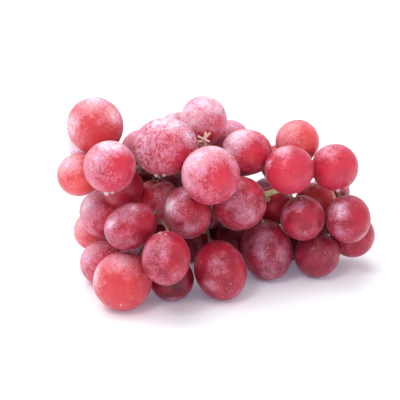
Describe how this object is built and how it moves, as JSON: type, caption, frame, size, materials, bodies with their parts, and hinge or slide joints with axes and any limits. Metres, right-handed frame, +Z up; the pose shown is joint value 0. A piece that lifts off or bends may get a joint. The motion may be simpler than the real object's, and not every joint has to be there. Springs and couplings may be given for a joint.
{
  "type": "bunch of grapes",
  "caption": "Bunch of large round red table grapes lying on its side: plump bloomed berries packed around a branching green-brown stem with a cut peduncle.",
  "frame": {"origin": "on the table that the bunch lies on, under the middle of the bunch's bounding box", "axes": "+X along the bunch towards its thin tip, +Y from the side that the picture shows towards the back, +Z up from the table"},
  "size_m": [0.1614, 0.1182, 0.0922],
  "materials": {
    "berry_skin_frosted": "thin taut grape skin, pinkish red under a heavy pale waxy bloom",
    "berry_skin_coral": "thin taut grape skin, bright coral red with light bloom, translucent",
    "berry_skin_crimson": "thin taut grape skin, crimson red with cloudy bloom",
    "berry_skin_mauve": "thin taut grape skin, dusty mauve red under cloudy bloom",
    "berry_skin_dark": "thin taut grape skin, deep wine red, little bloom",
    "stem_rind": "yellow-green grape stem rind turning brown, matt"
  },
  "bodies": {
    "root": {"berry_shoulder_1": "berry_skin_coral", "berry_shoulder_2": "berry_skin_mauve", "berry_shoulder_3": "berry_skin_frosted", "berry_shoulder_4": "berry_skin_coral", "berry_shoulder_5": "berry_skin_dark", "berry_crown_1": "berry_skin_frosted", "berry_crown_2": "berry_skin_mauve", "berry_crown_3": "berry_skin_mauve", "berry_crown_4": "berry_skin_frosted", "berry_crown_5": "berry_skin_mauve", "berry_crown_6": "berry_skin_frosted", "berry_heart_1": "berry_skin_frosted", "berry_heart_2": "berry_skin_crimson", "berry_heart_3": "berry_skin_mauve", "berry_heart_4": "berry_skin_dark", "berry_heart_5": "berry_skin_crimson", "berry_heart_6": "berry_skin_dark", "berry_low_left_1": "berry_skin_mauve", "berry_low_left_2": "berry_skin_mauve", "berry_low_left_3": "berry_skin_crimson", "berry_low_left_4": "berry_skin_coral", "berry_low_left_5": "berry_skin_crimson", "berry_low_left_6": "berry_skin_mauve", "berry_low_left_7": "berry_skin_crimson", "berry_low_left_8": "berry_skin_dark", "berry_low_left_9": "berry_skin_dark", "berry_right_top_1": "berry_skin_frosted", "berry_right_top_2": "berry_skin_crimson", "berry_right_top_3": "berry_skin_coral", "berry_right_low_1": "berry_skin_mauve", "berry_right_low_2": "berry_skin_dark", "berry_right_low_3": "berry_skin_crimson", "berry_right_low_4": "berry_skin_crimson", "berry_right_low_5": "berry_skin_crimson", "berry_right_low_6": "berry_skin_mauve", "berry_right_low_7": "berry_skin_crimson", "berry_right_low_8": "berry_skin_dark", "berry_back_1": "berry_skin_dark", "berry_back_2": "berry_skin_mauve", "berry_back_3": "berry_skin_mauve", "berry_back_4": "berry_skin_dark", "berry_back_5": "berry_skin_crimson", "berry_back_6": "berry_skin_crimson", "berry_back_7": "berry_skin_crimson", "berry_back_8": "berry_skin_crimson", "berry_back_9": "berry_skin_mauve", "berry_back_10": "berry_skin_mauve", "berry_back_11": "berry_skin_mauve", "berry_back_12": "berry_skin_mauve", "berry_back_13": "berry_skin_mauve", "berry_back_14": "berry_skin_mauve", "berry_back_15": "berry_skin_mauve", "berry_back_16": "berry_skin_crimson", "berry_back_17": "berry_skin_crimson", "berry_back_18": "berry_skin_dark", "stem": "stem_rind"}
  },
  "joints": []
}
